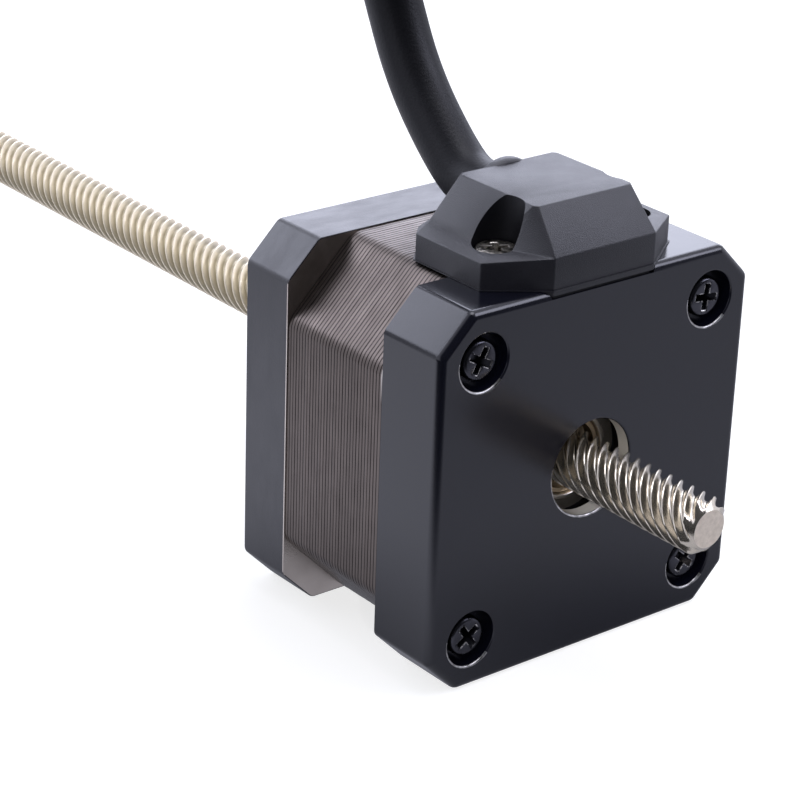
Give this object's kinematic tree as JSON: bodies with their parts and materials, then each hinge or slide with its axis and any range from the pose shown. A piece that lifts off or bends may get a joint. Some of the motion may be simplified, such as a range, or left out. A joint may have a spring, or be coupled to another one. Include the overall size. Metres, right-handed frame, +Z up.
{
  "type": "linear stepper motor",
  "caption": "Square stepper motor with a threaded rod through its hollow rotor, a tapped flange with a centring boss, and a cable from a moulded cover.",
  "frame": {"origin": "centre of the flange's mounting face, on the motor's axis", "axes": "+Y out of the flange along the threaded rod, +Z up through the cable cover, the motor lies on its lower flats"},
  "size_m": [0.1033, 0.1538, 0.102],
  "materials": {
    "flange_anodised": "machined and black anodised",
    "cover_paint": "die cast, black satin paint",
    "lamination_steel": "ground lamination edges",
    "insulator_plastic": "moulded",
    "winding_copper": "enamelled copper wire",
    "bearing_steel": "ground",
    "seal_rubber": "moulded",
    "black_screw_steel": "black oxide",
    "bright_screw_steel": "nickel plated",
    "cover_plastic": "fine moulded grain",
    "board_laminate": "glass laminate",
    "contact_brass": "plated",
    "cable_rubber": "extruded jacket",
    "plug_plastic": "moulded",
    "shaft_steel": "turned and ground",
    "nut_bronze": "turned bronze",
    "magnet_alloy": "sintered, plated",
    "rod_steel": "rolled stainless thread"
  },
  "bodies": {
    "housing": {"front_flange": "flange_anodised", "rear_cover": "cover_paint", "stator_stack": "lamination_steel", "front_insulator": "insulator_plastic", "rear_insulator": "insulator_plastic", "stator_windings": "winding_copper", "front_bearing_outer": "bearing_steel", "front_bearing_seals": "seal_rubber", "rear_bearing_outer": "bearing_steel", "rear_bearing_seals": "seal_rubber", "preload_spring": "bearing_steel", "body_screws": "black_screw_steel", "cable_cover": "cover_plastic", "cover_seal": "seal_rubber", "cover_screws": "bright_screw_steel", "terminal_board": "board_laminate", "terminal_pins": "contact_brass", "cable_gland": "cable_rubber", "motor_cable": "cable_rubber", "plug_body": "plug_plastic", "plug_shell": "bright_screw_steel", "plug_insert": "plug_plastic", "plug_contacts": "contact_brass"},
    "rotor": {"rotor_sleeve": "shaft_steel", "drive_nut": "nut_bronze", "rotor_cup_front": "lamination_steel", "rotor_cup_rear": "lamination_steel", "rotor_magnet": "magnet_alloy", "front_spacer": "shaft_steel", "rear_spacer": "shaft_steel", "front_bearing_inner": "bearing_steel", "rear_bearing_inner": "bearing_steel"},
    "rod": {"lead_screw": "rod_steel"}
  },
  "joints": [
    {"name": "rotor_spin", "type": "hinge", "parent": "housing", "child": "rotor", "pos_m": [0, 0, 0], "axis": [0, 1, 0], "range_deg": [-361, 2161]},
    {"name": "rod_slide", "type": "slide", "parent": "housing", "child": "rod", "axis": [0, 1, 0], "range_m": [-0.0762, 0.0127]}
  ],
  "couplings": [
    {"joint": "rotor_spin", "follows": "rod_slide", "rad_per_m": -494.74}
  ]
}
